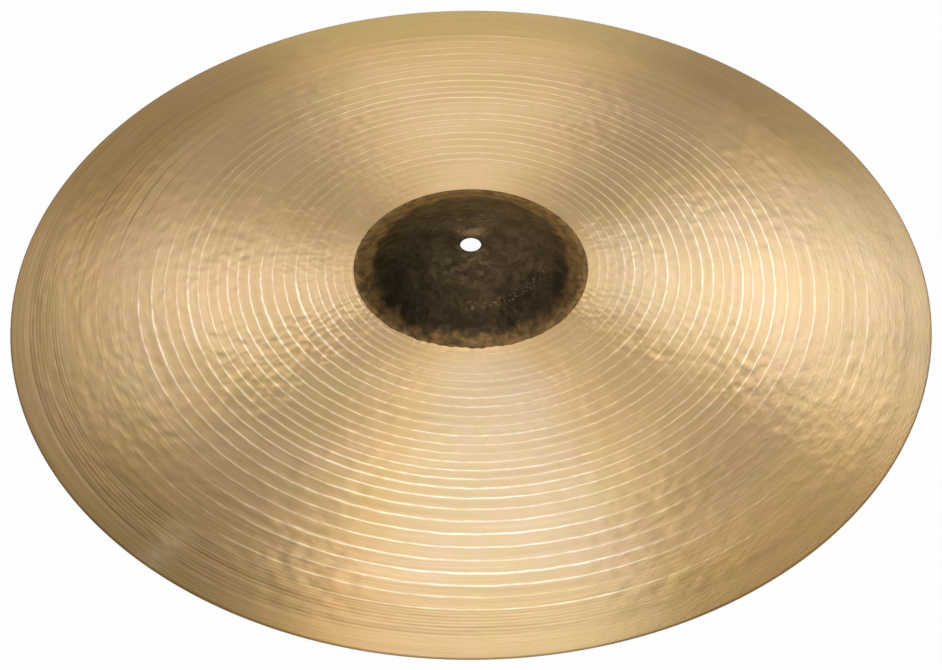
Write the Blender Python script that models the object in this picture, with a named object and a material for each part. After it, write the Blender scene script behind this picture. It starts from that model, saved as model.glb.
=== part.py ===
"""A 22 inch ride cymbal, turned from one disc of bell bronze.

The cymbal is a thin shell of revolution about Z: a flat land round the stand hole, a domed bell,
a hollow curve at the bell's foot, a bow that steepens towards the rim, and a squared edge whose
underside is flat where it rests. Shallow tonal grooves are turned into the top of the bow.
Units are metres. The origin is on the axis, in the plane that the edge rests on.
"""

import math

import bmesh
import bpy

# Plan sizes
DIAMETER = 0.5588
BELL_DIAMETER = 0.1415
HOLE_DIAMETER = 0.0125
CROWN_LAND_WIDTH = 0.0068

# Heights
BOW_RISE = 0.0260
BELL_RISE = 0.0200
BELL_FOOT_RADIUS = 0.0120
# The bow falls from the bell as this power of the radius, so it steepens towards the rim.
BOW_POWER = 2.5

# Thickness of the metal
CROWN_THICKNESS = 0.0013
BOW_THICKNESS = 0.0014
EDGE_THICKNESS = 0.0010
EDGE_ROUND = 0.0003
EDGE_LAND_WIDTH = 0.0012

# Tonal grooves: shallow channels that meet in low ridges. The turner's hand opens and closes
# them in a slow swing and a quick one, each a shift in metres and a length in ridges.
GROOVE_DEPTH = 0.00015
GROOVE_PITCH = 0.00676
RIDGE_FLANK = 0.0015
BELL_MARGIN = 0.0042
RIM_MARGIN = 0.0160
SLOW_SWING = 0.0044
SLOW_SWING_LENGTH = 35.5
SLOW_SWING_START = -14.8
QUICK_SWING = -0.0022
QUICK_SWING_LENGTH = 13.0
QUICK_SWING_START = 0.2

# Fineness of the mesh
SIDES = 64
DOME_STEPS = 7
FOOT_STEPS = 3
UNDERSIDE_STEPS = 7
GROOVE_CREASE = math.radians(2)
CORNER_CREASE = math.radians(40)
SAME_HEIGHT = 1e-6

# sRGB colours of the two finishes
LATHED_BRONZE = "C6A676"
FIRED_BRONZE = "3A2C20"

RIM = DIAMETER / 2
FOOT = BELL_DIAMETER / 2
HOLE = HOLE_DIAMETER / 2
LAND = HOLE + CROWN_LAND_WIDTH


def clear_scene():
    for old in list(bpy.data.objects):
        bpy.data.objects.remove(old, do_unlink=True)


def linear(channel):
    if channel <= 0.04045:
        return channel / 12.92
    return ((channel + 0.055) / 1.055) ** 2.4


def bronze(name, colour, roughness):
    """A metal finish from its sRGB hex colour."""
    channels = [int(colour[place:place + 2], 16) / 255 for place in (0, 2, 4)]
    finish = bpy.data.materials.new(name)
    finish.use_nodes = True
    shader = finish.node_tree.nodes["Principled BSDF"]
    shader.inputs["Base Color"].default_value = [linear(c) for c in channels] + [1]
    shader.inputs["Metallic"].default_value = 1
    shader.inputs["Roughness"].default_value = roughness
    return finish


def bow_top(radius):
    """Height of the bow's top face before the grooves are cut."""
    centre_rise = BOW_RISE / (1 - (FOOT / RIM) ** BOW_POWER)
    return EDGE_THICKNESS + centre_rise * (1 - (radius / RIM) ** BOW_POWER)


def bow_slope(radius):
    """Angle by which the bow falls outwards, in radians."""
    centre_rise = BOW_RISE / (1 - (FOOT / RIM) ** BOW_POWER)
    return math.atan(centre_rise * BOW_POWER / RIM * (radius / RIM) ** (BOW_POWER - 1))


def thickness(radius):
    """The metal is even under the land, grows to the bell's foot and thins out to the edge."""
    if radius < FOOT:
        share = max(0, radius - LAND) / (FOOT - LAND)
        return CROWN_THICKNESS + (BOW_THICKNESS - CROWN_THICKNESS) * share
    share = (radius - FOOT) / (RIM - FOOT)
    return BOW_THICKNESS + (EDGE_THICKNESS - BOW_THICKNESS) * share


def bell_section():
    """Points of the bell's top, from the land to the foot, each as radius, height and slope.

    The dome is an arc that leaves the land level. The foot is a hollow arc that touches the dome
    and runs into the bow without a kink, which sets the dome's radius.
    """
    crown = bow_top(FOOT) + BELL_RISE
    fall = bow_slope(FOOT)
    foot_r = FOOT + BELL_FOOT_RADIUS * math.sin(fall)
    foot_z = bow_top(FOOT) + BELL_FOOT_RADIUS * math.cos(fall)
    across = foot_r - LAND
    down = crown - foot_z
    dome = (across ** 2 + down ** 2 - BELL_FOOT_RADIUS ** 2) / (2 * (BELL_FOOT_RADIUS + down))
    steepest = math.asin(across / (dome + BELL_FOOT_RADIUS))
    points = []
    for step in range(DOME_STEPS + 1):
        slope = steepest * step / DOME_STEPS
        radius = LAND + dome * math.sin(slope)
        points.append((radius, crown - dome * (1 - math.cos(slope)), slope))
    for step in range(1, FOOT_STEPS + 1):
        slope = steepest + (fall - steepest) * step / FOOT_STEPS
        radius = foot_r - BELL_FOOT_RADIUS * math.sin(slope)
        points.append((radius, foot_z - BELL_FOOT_RADIUS * math.cos(slope), slope))
    return points


def swing(ridge, shift, length, start):
    return shift * math.sin(math.tau * (ridge - start) / length)


def ridge_radii():
    """Radius of each ridge between two tonal grooves, from the bell outwards."""
    radii = []
    radius = 0
    while radius < RIM - RIM_MARGIN:
        ridge = len(radii)
        radius = FOOT + BELL_MARGIN + GROOVE_PITCH * ridge
        radius += swing(ridge, SLOW_SWING, SLOW_SWING_LENGTH, SLOW_SWING_START)
        radius += swing(ridge, QUICK_SWING, QUICK_SWING_LENGTH, QUICK_SWING_START)
        radii.append(radius)
    return radii[:-1]


def grooved_bow():
    """Points of the bow's top outside the bell's foot: each ridge, then the groove it drops into."""
    points = []
    for ridge in ridge_radii():
        floor = ridge + RIDGE_FLANK
        points.append((ridge, bow_top(ridge)))
        points.append((floor, bow_top(floor) - GROOVE_DEPTH))
    return points


def below(radius, height, slope):
    """The underside point square to a point of the top."""
    depth = thickness(radius)
    return radius - depth * math.sin(slope), height - depth * math.cos(slope)


def section():
    """The closed outline of the metal at +X: top from hole to rim, edge, then back below."""
    bell = bell_section()
    crown = bell[0][1]
    top = [(HOLE, crown)]
    top += [(radius, height) for radius, height, _ in bell]
    top += grooved_bow()
    top.append((RIM - EDGE_ROUND, bow_top(RIM - EDGE_ROUND)))
    edge = [(RIM, bow_top(RIM) - EDGE_ROUND), (RIM, 0), (RIM - EDGE_LAND_WIDTH, 0)]
    underside = []
    reach = RIM - 3 * EDGE_LAND_WIDTH - FOOT
    for step in range(UNDERSIDE_STEPS, 0, -1):
        radius = FOOT + reach * step / UNDERSIDE_STEPS
        underside.append(below(radius, bow_top(radius), bow_slope(radius)))
    underside += [below(*point) for point in reversed(bell)]
    underside.append((HOLE, crown - CROWN_THICKNESS))
    return top + edge + underside


def crease(turned):
    """Keeps ridges and corners crisp and all else smooth."""
    for edge in turned.edges:
        start, end = (corner.co for corner in edge.verts)
        level = abs(start.z - end.z) < SAME_HEIGHT
        round_the_bow = level and start.xy.length > FOOT
        edge.smooth = edge.calc_face_angle() < (GROOVE_CREASE if round_the_bow else CORNER_CREASE)


def make_cymbal(lathed, fired):
    """Turns the section round Z and gives the bell its own finish."""
    turned = bmesh.new()
    corners = [turned.verts.new((radius, 0, height)) for radius, height in section()]
    outline = [turned.edges.new(pair) for pair in zip(corners, corners[1:] + corners[:1])]
    bmesh.ops.spin(turned, geom=corners + outline, cent=(0, 0, 0), axis=(0, 0, 1),
                   dvec=(0, 0, 0), angle=math.tau, steps=SIDES, use_merge=True)
    bmesh.ops.recalc_face_normals(turned, faces=turned.faces)
    crease(turned)
    for face in turned.faces:
        face.smooth = True
        face.material_index = int(face.calc_center_median().xy.length < FOOT)
    mesh = bpy.data.meshes.new("cymbal")
    turned.to_mesh(mesh)
    turned.free()
    mesh.materials.append(lathed)
    mesh.materials.append(fired)
    cymbal = bpy.data.objects.new("cymbal", mesh)
    bpy.context.scene.collection.objects.link(cymbal)
    return cymbal


def main():
    clear_scene()
    lathed = bronze("lathed_bell_bronze", LATHED_BRONZE, 0.35)
    fired = bronze("fired_bell_bronze", FIRED_BRONZE, 0.6)
    make_cymbal(lathed, fired)


main()
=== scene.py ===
"""Dresses the ride cymbal: a fired, hammered bell and a lathed bow of bell bronze, on a pale floor.

The mesh is one closed skin. Rows of points follow a section through the metal, from the hole
over the top to the rim and back along the underside, and on the bow they wind outwards with the
lathe's cut. Hammer dents and lathe ridges move the points along the surface's own normals by
fractions of a millimetre.
"""

import math

import bpy
import numpy as np
from bpy.props import FloatProperty, FloatVectorProperty, IntProperty, PointerProperty
from mathutils import Matrix, Vector


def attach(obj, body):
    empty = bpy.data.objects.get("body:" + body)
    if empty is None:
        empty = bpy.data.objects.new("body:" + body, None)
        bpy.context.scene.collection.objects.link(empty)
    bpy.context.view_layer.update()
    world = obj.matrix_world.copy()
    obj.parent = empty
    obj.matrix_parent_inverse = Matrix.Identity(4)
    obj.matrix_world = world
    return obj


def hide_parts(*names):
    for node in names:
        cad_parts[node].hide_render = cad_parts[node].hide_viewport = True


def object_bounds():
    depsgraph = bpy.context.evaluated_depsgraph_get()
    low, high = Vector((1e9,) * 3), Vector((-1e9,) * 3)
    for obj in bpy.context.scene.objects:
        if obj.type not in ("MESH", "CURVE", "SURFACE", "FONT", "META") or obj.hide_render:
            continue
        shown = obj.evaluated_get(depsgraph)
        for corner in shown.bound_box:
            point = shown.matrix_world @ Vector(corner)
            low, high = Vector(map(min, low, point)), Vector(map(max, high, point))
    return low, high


bl_info = {
    "name": "Ride cymbal",
    "version": (1, 0, 0),
    "blender": (4, 5, 0),
    "location": "3D View > Sidebar > Cymbal",
    "description": "Turns, hammers, finishes and lights a ride cymbal of bell bronze",
    "category": "Add Mesh",
}

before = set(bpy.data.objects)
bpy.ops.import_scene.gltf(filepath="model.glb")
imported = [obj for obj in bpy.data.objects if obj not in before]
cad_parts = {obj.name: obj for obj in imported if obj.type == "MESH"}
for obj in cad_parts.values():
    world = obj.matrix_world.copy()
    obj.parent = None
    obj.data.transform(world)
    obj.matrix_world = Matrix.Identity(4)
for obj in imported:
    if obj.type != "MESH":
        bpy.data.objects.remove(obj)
CAD_LOW, CAD_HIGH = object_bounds()
MM = 0.001


def linear(colour):
    """Scene-linear RGB of an sRGB hex colour."""
    channels = [int(colour[place:place + 2], 16) / 255 for place in (0, 2, 4)]
    return [c / 12.92 if c <= 0.04045 else ((c + 0.055) / 1.055) ** 2.4 for c in channels]


# The settings that a user would change


class CymbalShape(bpy.types.PropertyGroup):
    """Sizes of the disc, in metres."""

    diameter: FloatProperty(
        name="Diameter", description="Across the rim", default=CAD_HIGH.x - CAD_LOW.x,
        unit="LENGTH")
    height: FloatProperty(
        name="Height", description="From the edge's rest to the crown", default=CAD_HIGH.z,
        unit="LENGTH")
    bell_diameter: FloatProperty(
        name="Bell diameter", description="Across the bell's foot", default=0.1415,
        unit="LENGTH")
    bell_rise: FloatProperty(
        name="Bell rise", description="Crown above the bell's foot", default=0.0200,
        unit="LENGTH")
    foot_radius: FloatProperty(
        name="Foot radius", description="Radius of the hollow curve where bell meets bow",
        default=0.0120, unit="LENGTH")
    bow_power: FloatProperty(
        name="Bow power", description="How strongly the bow steepens towards the rim",
        default=2.5)
    hole_diameter: FloatProperty(
        name="Hole diameter", description="Across the stand hole", default=0.0125,
        unit="LENGTH")
    land_width: FloatProperty(
        name="Land width", description="Flat ring round the hole", default=0.0068,
        unit="LENGTH")
    crown_thickness: FloatProperty(
        name="Crown thickness", description="Metal under the land", default=0.0013,
        unit="LENGTH")
    bow_thickness: FloatProperty(
        name="Bow thickness", description="Metal at the bell's foot", default=0.0014,
        unit="LENGTH")
    edge_thickness: FloatProperty(
        name="Edge thickness", description="Metal at the rim", default=0.0010,
        unit="LENGTH")


class LatheWork(bpy.types.PropertyGroup):
    """The tonal grooves and the finer lines that the lathe leaves, in metres."""

    pitch: FloatProperty(
        name="Groove pitch", description="Mean distance between ridges", default=0.00676,
        unit="LENGTH")
    slow_swing: FloatProperty(
        name="Slow swing", description="How far the turner's hand drifts over the whole bow",
        default=0.0044, unit="LENGTH")
    quick_swing: FloatProperty(
        name="Quick swing", description="How far the hand drifts over a dozen ridges",
        default=-0.0022, unit="LENGTH")
    runout: FloatProperty(
        name="Runout", description="How far the lathe's axis lay from the disc's middle",
        default=0.0022, unit="LENGTH")
    runout_azimuth: FloatProperty(
        name="Runout azimuth", description="Where the lathe's axis lay, from +X",
        default=math.radians(52), subtype="ANGLE")
    ridge_width: FloatProperty(
        name="Ridge width", description="Across one ridge, foot to foot", default=0.0013,
        unit="LENGTH")
    ridge_height: FloatProperty(
        name="Ridge height", description="Ridge above its grooves", default=0.00003,
        unit="LENGTH")
    fine_pitch: FloatProperty(
        name="Fine pitch", description="Distance between fine lines near the rim",
        default=0.00180, unit="LENGTH")
    fine_depth: FloatProperty(
        name="Fine depth", description="Depth of the fine lines near the rim",
        default=0.00004, unit="LENGTH")


class HammerWork(bpy.types.PropertyGroup):
    """The hammer's marks, in metres."""

    bell_mark: FloatProperty(
        name="Bell mark", description="Across a hammer mark on the bell", default=0.0060,
        unit="LENGTH")
    bell_depth: FloatProperty(
        name="Bell depth", description="Depth of a mark on the bell", default=0.00016,
        unit="LENGTH")
    bow_mark: FloatProperty(
        name="Bow mark", description="Across a hammer mark on the bow", default=0.0125,
        unit="LENGTH")
    bow_depth: FloatProperty(
        name="Bow depth", description="Depth of a mark on the bow", default=0.00006,
        unit="LENGTH")
    seed: IntProperty(name="Seed", description="Which scatter of marks", default=22)


class BronzeColours(bpy.types.PropertyGroup):
    """Colours of the two skins of the metal."""

    lathed: FloatVectorProperty(
        name="Lathed", description="Bronze bared by the lathe", default=linear("D3B07E"),
        subtype="COLOR")
    # Ridge colour: partly burnish, partly a painted highlight where the crests catch the light
    ridge: FloatVectorProperty(
        name="Ridge", description="Burnished crest of a ridge", default=linear("FCE5BE"),
        subtype="COLOR")
    # Score colour: tarnish, and painted shade in the fine lines' grooves and on ridges where the bite
    # is negative; the edge is coloured with it too
    score: FloatVectorProperty(
        name="Score", description="Tarnish in a fine line or on the edge",
        default=linear("8C6F48"), subtype="COLOR")
    fired: FloatVectorProperty(
        name="Fired", description="Oxide skin on the bell", default=linear("3F3325"),
        subtype="COLOR")
    umber: FloatVectorProperty(
        name="Umber", description="Lighter clouds in the oxide skin", default=linear("564632"),
        subtype="COLOR")
    margin: FloatVectorProperty(
        name="Margin", description="Thinner skin round the bell's foot",
        default=linear("8C6E44"), subtype="COLOR")


class StudioStage(bpy.types.PropertyGroup):
    """Floor, lamps and camera."""

    floor_width: FloatProperty(
        name="Floor width", description="Side of the square floor", default=40.0,
        unit="LENGTH")
    ceiling: FloatProperty(
        name="Ceiling", description="Brightness of the studio's walls and ceiling", default=0.183)
    camera_distance: FloatProperty(
        name="Camera distance", description="From the middle of the rim", default=1.78,
        unit="LENGTH")
    camera_elevation: FloatProperty(
        name="Camera elevation", description="Above the floor", default=math.radians(44.35),
        subtype="ANGLE")
    lens: FloatProperty(
        name="Lens", description="Focal length in millimetres", default=111.5)


# The section of the metal. A station is a radius, a height and the outward tilt of the skin.

# Stations along dome, foot and bow, close enough to read between
DOME_STEPS, FOOT_STEPS, BOW_STEPS = 200, 60, 400


def smooth_step(value, low, high):
    share = np.clip((value - low) / (high - low), 0, 1)
    return share * share * (3 - 2 * share)


def bow_rise(shape):
    """How far the bow would rise at the axis, if the bell weren't there."""
    foot = shape.bell_diameter / shape.diameter
    at_foot = shape.height - shape.bell_rise - shape.edge_thickness
    return at_foot / (1 - foot ** shape.bow_power)


def bow_station(shape, radius):
    """The bow's top at a radius."""
    share = radius / (shape.diameter / 2)
    height = shape.edge_thickness + bow_rise(shape) * (1 - share ** shape.bow_power)
    fall = bow_rise(shape) * shape.bow_power / (shape.diameter / 2)
    return radius, height, math.atan(fall * share ** (shape.bow_power - 1))


def thickness(shape, radius):
    """Even under the land, thicker to the bell's foot, thinner to the rim."""
    land = shape.hole_diameter / 2 + shape.land_width
    places = (land, shape.bell_diameter / 2, shape.diameter / 2)
    sizes = (shape.crown_thickness, shape.bow_thickness, shape.edge_thickness)
    return float(np.interp(radius, places, sizes))


def arc(centre, radius, start, end, steps):
    """Stations on a round corner, whose tilt goes from start to end."""
    stations = []
    for tilt in np.linspace(start, end, steps + 1):
        across = centre[0] + radius * math.sin(tilt)
        stations.append((across, centre[1] + radius * math.cos(tilt), tilt))
    return stations


def bell_stations(shape, dome_steps, foot_steps):
    """The bell's top from the land's rim to the foot: a dome arc, then the foot's hollow arc."""
    land = shape.hole_diameter / 2 + shape.land_width
    foot, foot_height, fall = bow_station(shape, shape.bell_diameter / 2)
    hollow = shape.foot_radius
    centre = (foot + hollow * math.sin(fall), foot_height + hollow * math.cos(fall))
    across = centre[0] - land
    down = shape.height - centre[1]
    dome = (across ** 2 + down ** 2 - hollow ** 2) / (2 * (hollow + down))
    steepest = math.asin(across / (dome + hollow))
    stations = arc((land, shape.height - dome), dome, 0, steepest, dome_steps)
    return stations + arc(centre, -hollow, steepest, fall, foot_steps)[1:]


def top_profile(shape):
    """Radii, heights and tilts all along the top."""
    bow = np.linspace(shape.bell_diameter / 2, shape.diameter / 2, BOW_STEPS)
    stations = [(shape.hole_diameter / 2, shape.height, 0)]
    stations += bell_stations(shape, DOME_STEPS, FOOT_STEPS)
    stations += [bow_station(shape, radius) for radius in bow[1:]]
    return np.array(stations).T


def below(shape, station):
    """The station on the underside, square through the metal from one of the top."""
    radius, height, tilt = station
    depth = thickness(shape, radius)
    return (radius - depth * math.sin(tilt), height - depth * math.cos(tilt), tilt + math.pi)


# Unevenness


def hump(angles, middle, width):
    """A smooth bump of height 1 round the circle, with its middle and half width in degrees."""
    apart = (np.degrees(angles) - middle + 180) % 360 - 180
    return np.exp(-(apart / width) ** 2)


def uneven(angles, everywhere, places):
    """A strength that is the same all round, and more or less than that at some places. Each
    place has its azimuth and half width in degrees, and how much it adds."""
    return everywhere + sum(more * hump(angles, azimuth, width) for azimuth, width, more in places)


def wander(rng, angles, waves, reach):
    """A smooth closed wave round the circle, from a few random harmonics."""
    total = np.zeros_like(angles)
    for wave in waves:
        size, phase = rng.normal(), rng.uniform(0, math.tau)
        total += size / math.sqrt(len(waves)) * np.sin(wave * angles + phase)
    return reach * total


# The lathe

# The first ridge stands this far from the bell's foot. The turner's hand swings slowly and
# quickly as it feeds the tool outwards: how many turns a swing takes, and where it starts.
FIRST_RIDGE = 6.4 * MM
SLOW_SWING_TURNS, SLOW_SWING_START = 35.5, -14.8
QUICK_SWING_TURNS, QUICK_SWING_START = 13, 0.2

# How hard the tool bites near the bell, half way out and near the rim, and how hard the fine
# lines of the rim are cut. See uneven(). The bite also sets how much lighter the crests are
# painted, as a painted highlight, and where it falls below nothing the ridges are painted dark
# with the score colour, as painted shade.
BITE_BY_BELL = (0.48, ((33, 26, 1.0), (335, 18, 0.35), (212, 24, 1.9), (165, 28, -0.32)))
BITE_HALF_WAY = (0.73, ((33, 26, 0.6), (335, 18, 0.35), (229, 32, 0.95), (165, 28, -0.32)))
BITE_BY_RIM = (0.18, ((246, 24, 0.75), (280, 22, 0.7), (92, 18, 0.4), (155, 17, -1.1),
                      (30, 16, -0.5), (350, 16, 0.3)))
BITE_OF_LINES = (0.16, ((205, 42, 0.85), (255, 30, 0.6)))

# Waves in a turn of the turner's hand, of the haze between two ridges and of the tool's shake.
HAND_WAVES = (0.4, 0.7, 1.3, 2.6, 4.7, 8.3, 13.9)
HAZE_WAVES = (0.9, 2.3, 6.1, 11.7)
SHAKE_WAVES = (17.3, 29.1, 43.7, 61.2)
HAZE = 0.1
SHAKE = 0.13 * MM

# Places across a ridge in half widths, with the share of its height and of its crest value
# there, which paints it lighter, partly as burnish and partly as a painted highlight.
RIDGE_SECTION = ((-1.2, 0, 0), (-0.6, 0.5, 0.4), (0, 1, 1.2), (0.6, 0.5, 0.4), (1.2, 0, 0))
RIDGE_TOP = 2
ROWS_A_TURN = len(RIDGE_SECTION) + 1
FIRST_TURN, LAST_TURN = -1, 25
CUT_START = math.radians(225)

# The fine lines lie between these distances from the rim, and the one of this number is painted
# bright in front, as a stray highlight. Outside them the rim is plain, with rings of points at
# these distances.
LINES_INNER, LINES_OUTER = 29 * MM, 10.5 * MM
STRAY_LINE = 2
PLAIN_RINGS = (9 * MM, 6 * MM, 3 * MM, 1 * MM)

# The shallow fold near the rim, in front on the left
FOLD_AZIMUTH = 229.5
FOLD_DEPTH = 0.05 * MM
FOLD_START, FOLD_FULL = 205 * MM, 240 * MM


def swing(turn, shift, turns, start):
    return shift * np.sin(math.tau * (turn - start) / turns)


def cut_radius(shape, lathe, turn):
    """The cut's distance from the lathe's axis after so many turns. The turner feeds the tool
    outwards by hand, now faster and now slower."""
    slow = swing(turn, lathe.slow_swing, SLOW_SWING_TURNS, SLOW_SWING_START)
    quick = swing(turn, lathe.quick_swing, QUICK_SWING_TURNS, QUICK_SWING_START)
    return shape.bell_diameter / 2 + FIRST_RIDGE + lathe.pitch * turn + slow + quick


def tool_pressure(radius, angles):
    """How boldly a ridge stands, and how much lighter its crest is painted, partly as burnish
    and partly as a painted highlight. A disc that is a little warped meets the tool hardest on two
    opposite sides. Further out the tool only bites here and there, most of all in front and on
    the left. Places are in mm from the axis."""
    place = radius / MM
    half_way = smooth_step(place, 130, 165)
    far = smooth_step(place, 178, 214)
    inner = uneven(angles, *BITE_BY_BELL) * (1 - half_way) + uneven(angles, *BITE_HALF_WAY) * half_way
    left = 0.75 * hump(angles, 200, 22) * np.exp(-((place - 199) / 8) ** 2)
    rise = 0.3 + 0.7 * smooth_step(place, 78, 112)
    lull = 1 - 0.5 * np.exp(-((place - 155) / 6) ** 2)
    return rise * lull * (inner * (1 - far) + uneven(angles, *BITE_BY_RIM) * far + left)


def along_cut(rng, turns, waves):
    """A smooth random wave, about -1 to 1, along the whole length of the spiral cut."""
    total = 0
    for wave in waves:
        total = total + rng.normal() * np.sin(math.tau * (wave * turns + rng.uniform()))
    return total / math.sqrt(len(waves))


def spiral_cut(shape, lathe, rng, angles):
    """Radius, lift and crest value along the spiral, as grids of rows by angles. The crest value
    paints a ridge lighter, partly as burnish and partly as a painted highlight, and the groove
    row's haze varies its tone at random. Each turn has a row for each place across its ridge and
    one in the groove outside it."""
    turns = np.arange(FIRST_TURN, LAST_TURN + 1)[:, None] + (angles - CUT_START) / math.tau
    cut = cut_radius(shape, lathe, turns)
    groove = (cut + cut_radius(shape, lathe, turns + 1)) / 2
    broad = 1 + 0.25 * along_cut(rng, turns, HAND_WAVES) + 0.3 * hump(angles, 245, 50)
    half = lathe.ridge_width / 2 * broad
    bold = tool_pressure(cut, angles) * np.clip(1 + 0.3 * along_cut(rng, turns, HAND_WAVES), 0.2, 1.7)
    fades_in = smooth_step(turns, FIRST_TURN - 0.6, FIRST_TURN - 0.2)
    fades_out = smooth_step(turns, LAST_TURN - 1, LAST_TURN - 0.65)
    bold = bold * fades_in * (1 - fades_out)
    haze = HAZE * along_cut(rng, turns, HAZE_WAVES)
    cut = cut + SHAKE * along_cut(rng, turns, SHAKE_WAVES)
    radii = [cut + place * half for place, _, _ in RIDGE_SECTION] + [groove]
    raised = lathe.ridge_height * np.clip(bold, 0, 1.2)
    lifts = [raised * lift for _, lift, _ in RIDGE_SECTION] + [0 * bold]
    crests = [np.clip(bold, 0, 2.5) * burnish_and_highlight for _, _, burnish_and_highlight in RIDGE_SECTION] + [haze]
    # where the bite is negative the ridge's top is painted dark with the score colour, as painted
    # shade
    crests[RIDGE_TOP] = crests[RIDGE_TOP] + 1.2 * np.clip(bold, -1, 0)
    return (np.stack(grid, 1).reshape(-1, len(angles)) for grid in (radii, lifts, crests))


def rim_lines(shape, lathe, rng, angles):
    """Radius, lift and crest value of the fine lines between the spiral and the plain rim. Each
    line's top is painted lighter, as a highlight, and the groove beside it darker, as painted
    shade. They are all but rubbed out along the fold, whose rows are painted bright, as a
    highlight."""
    rim = shape.diameter / 2
    force = uneven(angles, *BITE_OF_LINES) * (1 - 0.9 * hump(angles, FOLD_AZIMUTH, 2.4))
    # the fold's rows are painted bright, as a painted highlight
    fold_highlight = 0.4 * hump(angles, FOLD_AZIMUTH, 2)
    stray_highlight = 0.9 * hump(angles, 282, 32)
    rings = []
    lines = np.arange(rim - LINES_INNER, rim - LINES_OUTER, lathe.fine_pitch / 2)
    for number, line in enumerate(lines):
        bold = force * np.clip(0.7 + wander(rng, angles, (1, 2, 4, 7, 12), 0.4), 0, 1.5)
        if number % 2:
            rings.append((line, -lathe.fine_depth * bold, fold_highlight - 0.5 * bold))
        else:
            rings.append((line, 0 * bold, fold_highlight + 0.25 * bold + stray_highlight * (number == STRAY_LINE)))
    for inset in PLAIN_RINGS:
        rings.append((rim - inset, 0 * angles, fold_highlight))
    return rings


def ragged_border(rng, angles):
    """How far the lathe strayed on to the bell's foot all round, most of all in front."""
    front = hump(angles, 262, 45)
    scallops = np.abs(np.sin(34 * angles + wander(rng, angles, (2, 3, 5, 7), 1.2)))
    waves = wander(rng, angles, (17, 23, 31, 43), 0.25 * MM)
    slow = wander(rng, angles, (2, 3, 5), 0.25 * MM)
    return slow - front * (2.2 * MM + 0.7 * MM * scallops + waves)


# The hammer

# Marks lie in rings. Their spacing on the bell and on the bow is a share of a mark's width.
BELL_SPACING, BOW_SPACING = 0.62, 0.6


def dents_in_rows(rng, inner, outer, mark, depth, spacing):
    """Hammer marks in rings: radius, angle, reach and depth of each."""
    dents = []
    for row in np.arange(inner, outer, mark * spacing):
        count = max(5, round(math.tau * row / (mark * spacing)))
        turn = rng.uniform(0, math.tau)
        for place in range(count):
            radius = row + rng.normal() * mark * 0.16
            angle = turn + math.tau * (place + rng.normal() * 0.2) / count
            reach = mark * rng.uniform(0.45, 0.68)
            dents.append((radius, angle, reach, depth * rng.uniform(0.2, 1.4)))
    return dents


def press(dents, radii, angles):
    """Depth that the dents add up to, at each point of a polar grid. The radii are a grid of rows
    by angles."""
    depth = np.zeros(radii.shape)
    step = angles[1] - angles[0]
    for radius, angle, reach, deepest in dents:
        half = reach / max(radius, reach)
        first, last = math.floor((angle - half) / step), math.ceil((angle + half) / step)
        columns = np.arange(first, last + 1)
        turned = columns * step - angle
        columns = columns % len(angles)
        rows = np.flatnonzero((np.abs(radii[:, columns] - radius) < reach).any(1))
        across = radii[np.ix_(rows, columns)]
        apart = (across - radius) ** 2 + 2 * across * radius * (1 - np.cos(turned))
        depth[np.ix_(rows, columns)] += deepest * np.clip(1 - apart / reach ** 2, 0, None) ** 2
    return depth


# The skin

# Numbers of its two finishes, and how much of the texture layout's height the top takes
FIRED, LATHED = 0, 1
TOP_SHARE = 0.68


class Row:
    """One ring of points, or one turn of a row that winds outwards and ends ROWS_A_TURN rows
    further on. The last rows of a spiral are stubs, which hold only its end."""

    def __init__(self, points, crest, finish, winds, stub):
        self.points, self.crest, self.finish = points, crest, finish
        self.winds, self.stub = winds, stub


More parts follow.
